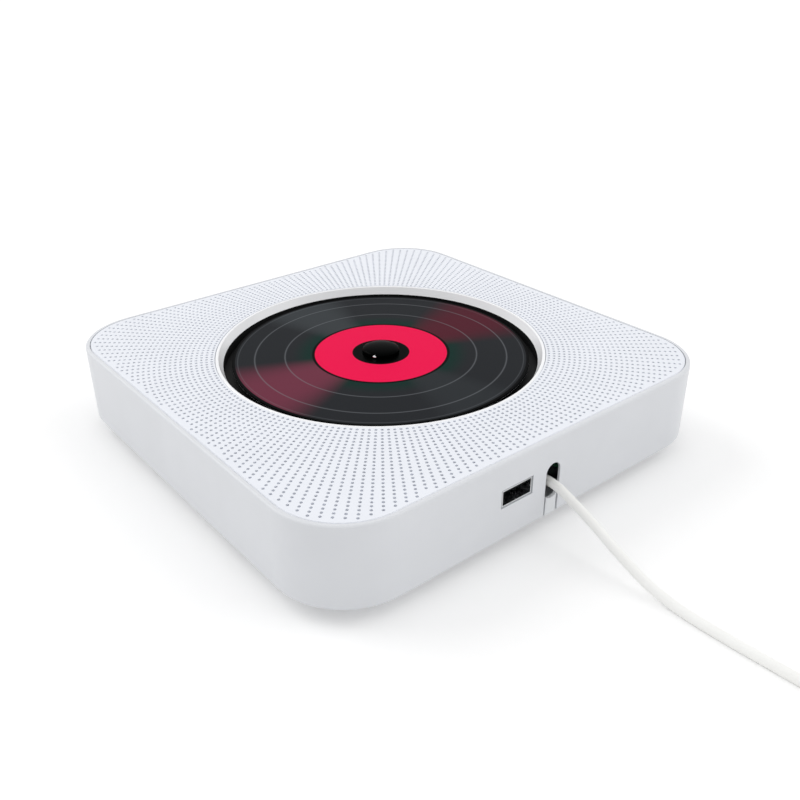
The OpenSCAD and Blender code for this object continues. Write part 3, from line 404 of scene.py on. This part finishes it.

# ---- Compact disc ----
# Polycarbonate, 120 mm, printed black with fine grooves and a pink label ring, under a satin
# lacquer;
# the black turns green round the label. Red and grey wedges fan out over it: painted sheen,
# standing for the lacquer's shine. A faint light ring near the edge is a painted highlight of the
# rim. The underside is bare aluminium behind clear plastic.
label_in = 11.6 * mm
label_out = 26.9 * mm
label_line = (26.8 * mm, 28 * mm)
green_tint = (28 * mm, 37 * mm)
thin_rings = (38.9 * mm, 51 * mm)
thin_ring_half = 0.25 * mm
# Painted highlight: a faint light ring that stands for the shine on the disc's rim.
painted_rim_highlight = (57.6 * mm, 57.9 * mm)
black_rim = (58.8 * mm, 61 * mm)
grooved = (28 * mm, 58 * mm)
groove_pitch = 0.5 * mm
print_low = 33.3 * mm
clear_top = 33.2 * mm


def printed_disc_with_painted_sheen(name):
    material, tree = new_material(name)
    coords = add_node(tree, "ShaderNodeTexCoord").outputs["Object"]
    parts = add_node(tree, "ShaderNodeSeparateXYZ", {"Vector": coords}).outputs
    flat = add_node(tree, "ShaderNodeCombineXYZ", {"X": parts["X"], "Y": parts["Y"]}).outputs[0]
    radius = add_node(tree, "ShaderNodeVectorMath", {0: flat}, operation="LENGTH").outputs["Value"]
    ray = add_node(tree, "ShaderNodeVectorMath", {0: flat}, operation="NORMALIZE").outputs["Vector"]
    ray_parts = add_node(tree, "ShaderNodeSeparateXYZ", {"Vector": ray}).outputs

    def ramp(value, low, high, to_low=0.0, to_high=1.0):
        return add_node(tree, "ShaderNodeMapRange", {
            "Value": value, "From Min": low, "From Max": high, "To Min": to_low, "To Max": to_high,
        }, interpolation_type="SMOOTHSTEP").outputs["Result"]

    def product(first, second):
        return add_node(
            tree, "ShaderNodeMath", {0: first, 1: second}, operation="MULTIPLY").outputs[0]

    def band(inner, outer, soft=0.15 * mm):
        rise = ramp(radius, inner - soft, inner + soft)
        fall = ramp(radius, outer - soft, outer + soft, 1.0, 0.0)
        return product(rise, fall)

    colour = blend_colours(tree, ramp(radius, *green_tint), "#15302B", "#282A2D")
    # Red and grey wedges along the disc's axes, fixed to the disc: painted sheen, standing for the
    # lacquer's shine.
    for axis, soft_edge, middle, painted_sheen_tone in (
            ("Y", -0.88, -1.0, "#6E3646"), ("Y", 0.88, 1.0, "#52212D"),
            ("X", -0.92, -1.0, "#3B3F42"), ("X", 0.94, 1.0, "#303336")):
        colour = blend_colours(tree, ramp(ray_parts[axis], soft_edge, middle), colour, painted_sheen_tone)
    for ring in thin_rings:
        line = band(ring - thin_ring_half, ring + thin_ring_half, 0.3 * mm)
        colour = blend_colours(tree, product(line, 0.4), colour, "#7E8186")
    # A faint light ring near the edge: a painted highlight of the disc's rim.
    line = band(*painted_rim_highlight, 0.25 * mm)
    colour = blend_colours(tree, product(line, 0.25), colour, "#7E8186")
    colour = blend_colours(tree, band(*black_rim), colour, "#08090A")
    colour = blend_colours(tree, band(*label_line, 0.2 * mm), colour, "#060B0A")
    colour = blend_colours(tree, band(label_in, label_out), colour, "#ED184F")
    colour = blend_colours(tree, band(0.0, label_in), colour, "#020303")
    under = ramp(parts["Z"], print_low, clear_top)
    colour = blend_colours(tree, under, colour, "#D5D7DA")

    turns = product(radius, math.tau / groove_pitch)
    grooves = add_node(tree, "ShaderNodeMath", {0: turns}, operation="SINE").outputs[0]
    # The wedges stand for the lacquer's shine, so the shader adds next to none of its own. The
    # real grooves are far too fine to show, and these are drawn as coarse as they need.
    shader = surface(
        tree, colour, between(tree, grain(tree, 1.5 * mm), 0.30, 0.34),
        height=product(grooves, band(*grooved, 0.4 * mm)), depth=0.003 * mm,
        IOR=1.45, Specular_IOR_Level=0.01,
    )
    tree.links.new(under, shader.inputs["Metallic"])
    return material


dress(printed_disc_with_painted_sheen("printed_polycarbonate_painted_sheen"), "compact_disc")

# ---- Turntable ----
# Polished black ABS hub and flange on the steel shaft, deep black and without grain, with three
# sprung steel balls that hold the disc, bright as mirrors, and a ring of dull rubber under it.
polished_black = moulded(
    "polished_black_abs", "#020303", "#030404", 0.08, 1.5 * mm, 0.0005 * mm, specular=0.01)
dress(polished_black, "turntable")
ball_steel = plated_steel("polished_ball_steel", "#E2E3E4", 0.10)
dress(ball_steel, "chuck_ball_1", "chuck_ball_2", "chuck_ball_3")
soft_rubber = moulded("black_rubber", "#1C1D1F", "#232426", 0.78, 0.3 * mm, 0.02 * mm, 1.5)
dress(soft_rubber, "turntable_pad", "rubber_dampers", "rubber_feet")

# ---- Disc mechanism ----
# Glass filled chassis and sled, a dull black with a coarse grain. Ground steel rods and shafts
# are bright, zinc plated motors and screws greyer. The wheels are creamy natural acetal with a
# yellow brass pinion, and the lens is coated glass with a faint blue cast.
dress(moulded("glass_filled_black", "#17181A", "#1D1F21", 0.55, 0.35 * mm, 0.02 * mm),
      "mech_chassis", "pickup_body", "lens_holder", "pull_switch", "tact_switches",
      "usb_tongue", "audio_jack", "ir_receiver", "board_parts")
ground_steel = plated_steel("ground_steel", "#D3D5D7", 0.20)
dress(ground_steel, "spindle_shaft", "gear_axle", "guide_rod_main", "guide_rod_rear")
zinc_steel = plated_steel("zinc_plated_steel", "#C4C8CC", 0.34)
dress(zinc_steel, "spindle_motor", "sled_motor", "speaker_frame_left", "speaker_frame_right",
      "well_screws", "board_screws", "damper_screws", "cover_screws")
acetal = moulded("natural_acetal", "#EFEDE4", "#E9E7DD", 0.30, 0.9 * mm, 0.004 * mm, 1.48)
dress(acetal, "sled_gear", "pickup_rack", "pull_carriage")
dress(plated_steel("cut_brass", "#D9B163", 0.28), "motor_pinion")


def coated_glass(name):
    material, tree = new_material(name)
    surface(tree, linear("#DDE9F7"), 0.02, IOR=1.5, Transmission_Weight=1.0)
    return material


dress(coated_glass("coated_lens_glass"), "objective_lens")

# ---- Speakers and boards ----
# Dark grey ferrite magnets and dull black cones of pressed paper, glued to their frames. The
# boards are glass epoxy under a satin green resist, the main one screwed to the rear cover.
dress(moulded("ferrite", "#2B2C2E", "#333437", 0.7, 0.25 * mm, 0.02 * mm, 1.6),
      "speaker_magnet_left", "speaker_magnet_right")
dress(moulded("black_cone_paper", "#141415", "#1C1C1E", 0.9, 0.4 * mm, 0.05 * mm, 1.45),
      "speaker_cone_left", "speaker_cone_right")
dress(moulded("green_resist", "#1E5B3B", "#1A5234", 0.32, 0.6 * mm, 0.01 * mm),
      "main_board", "button_board")

# ---- Buttons and rear cover ----
# Six moulded buttons in the plate's ABS, and the rear cover in the shell's ABS with a coarser
# grain that makes it duller, screwed on from the back.
dress(plate_abs, *[f"button_{number}" for number in range(1, 7)])
dress(moulded("grained_white_abs", "#E3E5E8", "#DFE1E4", 0.5, 0.8 * mm, 0.02 * mm), "rear_cover")

# ---- Floor and light ----
# A pale seamless table under an even white sky, with a broad soft lamp low on each side.
# The camera, gloss and glass see the table's lift to white, and its shadow stays.
table_lift = 0.155
floor_half = 4.0
sky_strength = 0.72


def white_rays(tree):
    """1 for rays from the camera, from gloss and through glass."""
    path = add_node(tree, "ShaderNodeLightPath").outputs
    seen = add_node(tree, "ShaderNodeMath", {
        0: path["Is Camera Ray"], 1: path["Is Glossy Ray"],
    }, operation="MAXIMUM").outputs[0]
    return add_node(tree, "ShaderNodeMath", {
        0: seen, 1: path["Is Transmission Ray"],
    }, operation="MAXIMUM").outputs[0]


def table_material():
    material, tree = new_material("pale_table")
    diffuse = add_node(tree, "ShaderNodeBsdfDiffuse", {"Color": linear("#F8F8F8")})
    lift = add_node(
        tree, "ShaderNodeMath", {0: white_rays(tree), 1: table_lift}, operation="MULTIPLY")
    glow = add_node(tree, "ShaderNodeEmission", {"Strength": lift.outputs[0]})
    both = add_node(tree, "ShaderNodeAddShader", {0: diffuse.outputs[0], 1: glow.outputs[0]})
    add_node(tree, "ShaderNodeOutputMaterial", {"Surface": both.outputs[0]})
    return material


floor = mesh_piece("floor", [
    (-floor_half, -floor_half, 0), (floor_half, -floor_half, 0),
    (floor_half, floor_half, 0), (-floor_half, floor_half, 0),
], [(0, 1, 2, 3)])
floor.data.materials.append(table_material())

world = bpy.data.worlds.new("soft_studio")
world.use_nodes = True
world.node_tree.nodes.clear()
sky_level = add_node(world.node_tree, "ShaderNodeMapRange", {
    "Value": white_rays(world.node_tree), "To Min": sky_strength, "To Max": 1.0,
})
sky = add_node(world.node_tree, "ShaderNodeBackground", {
    "Color": linear("#FFFFFF"), "Strength": sky_level.outputs["Result"],
})
add_node(world.node_tree, "ShaderNodeOutputWorld", {"Surface": sky.outputs[0]})
scene.world = world


def soft_lamp(name, towards, strength, spread):
    """A far, broad lamp: the same light all over the table, with a soft edge to its shadow."""
    lamp = bpy.data.lights.new(name, "SUN")
    lamp.energy = strength
    lamp.angle = math.radians(spread)
    lamp_object = bpy.data.objects.new(name, lamp)
    lamp_object.rotation_euler = Vector(towards).to_track_quat("Z", "Y").to_euler()
    scene.collection.objects.link(lamp_object)


soft_lamp("left_lamp", (-0.9, -0.45, 0.8), 0.82, 40)
soft_lamp("right_lamp", (0.55, 0.8, 0.8), 0.57, 50)
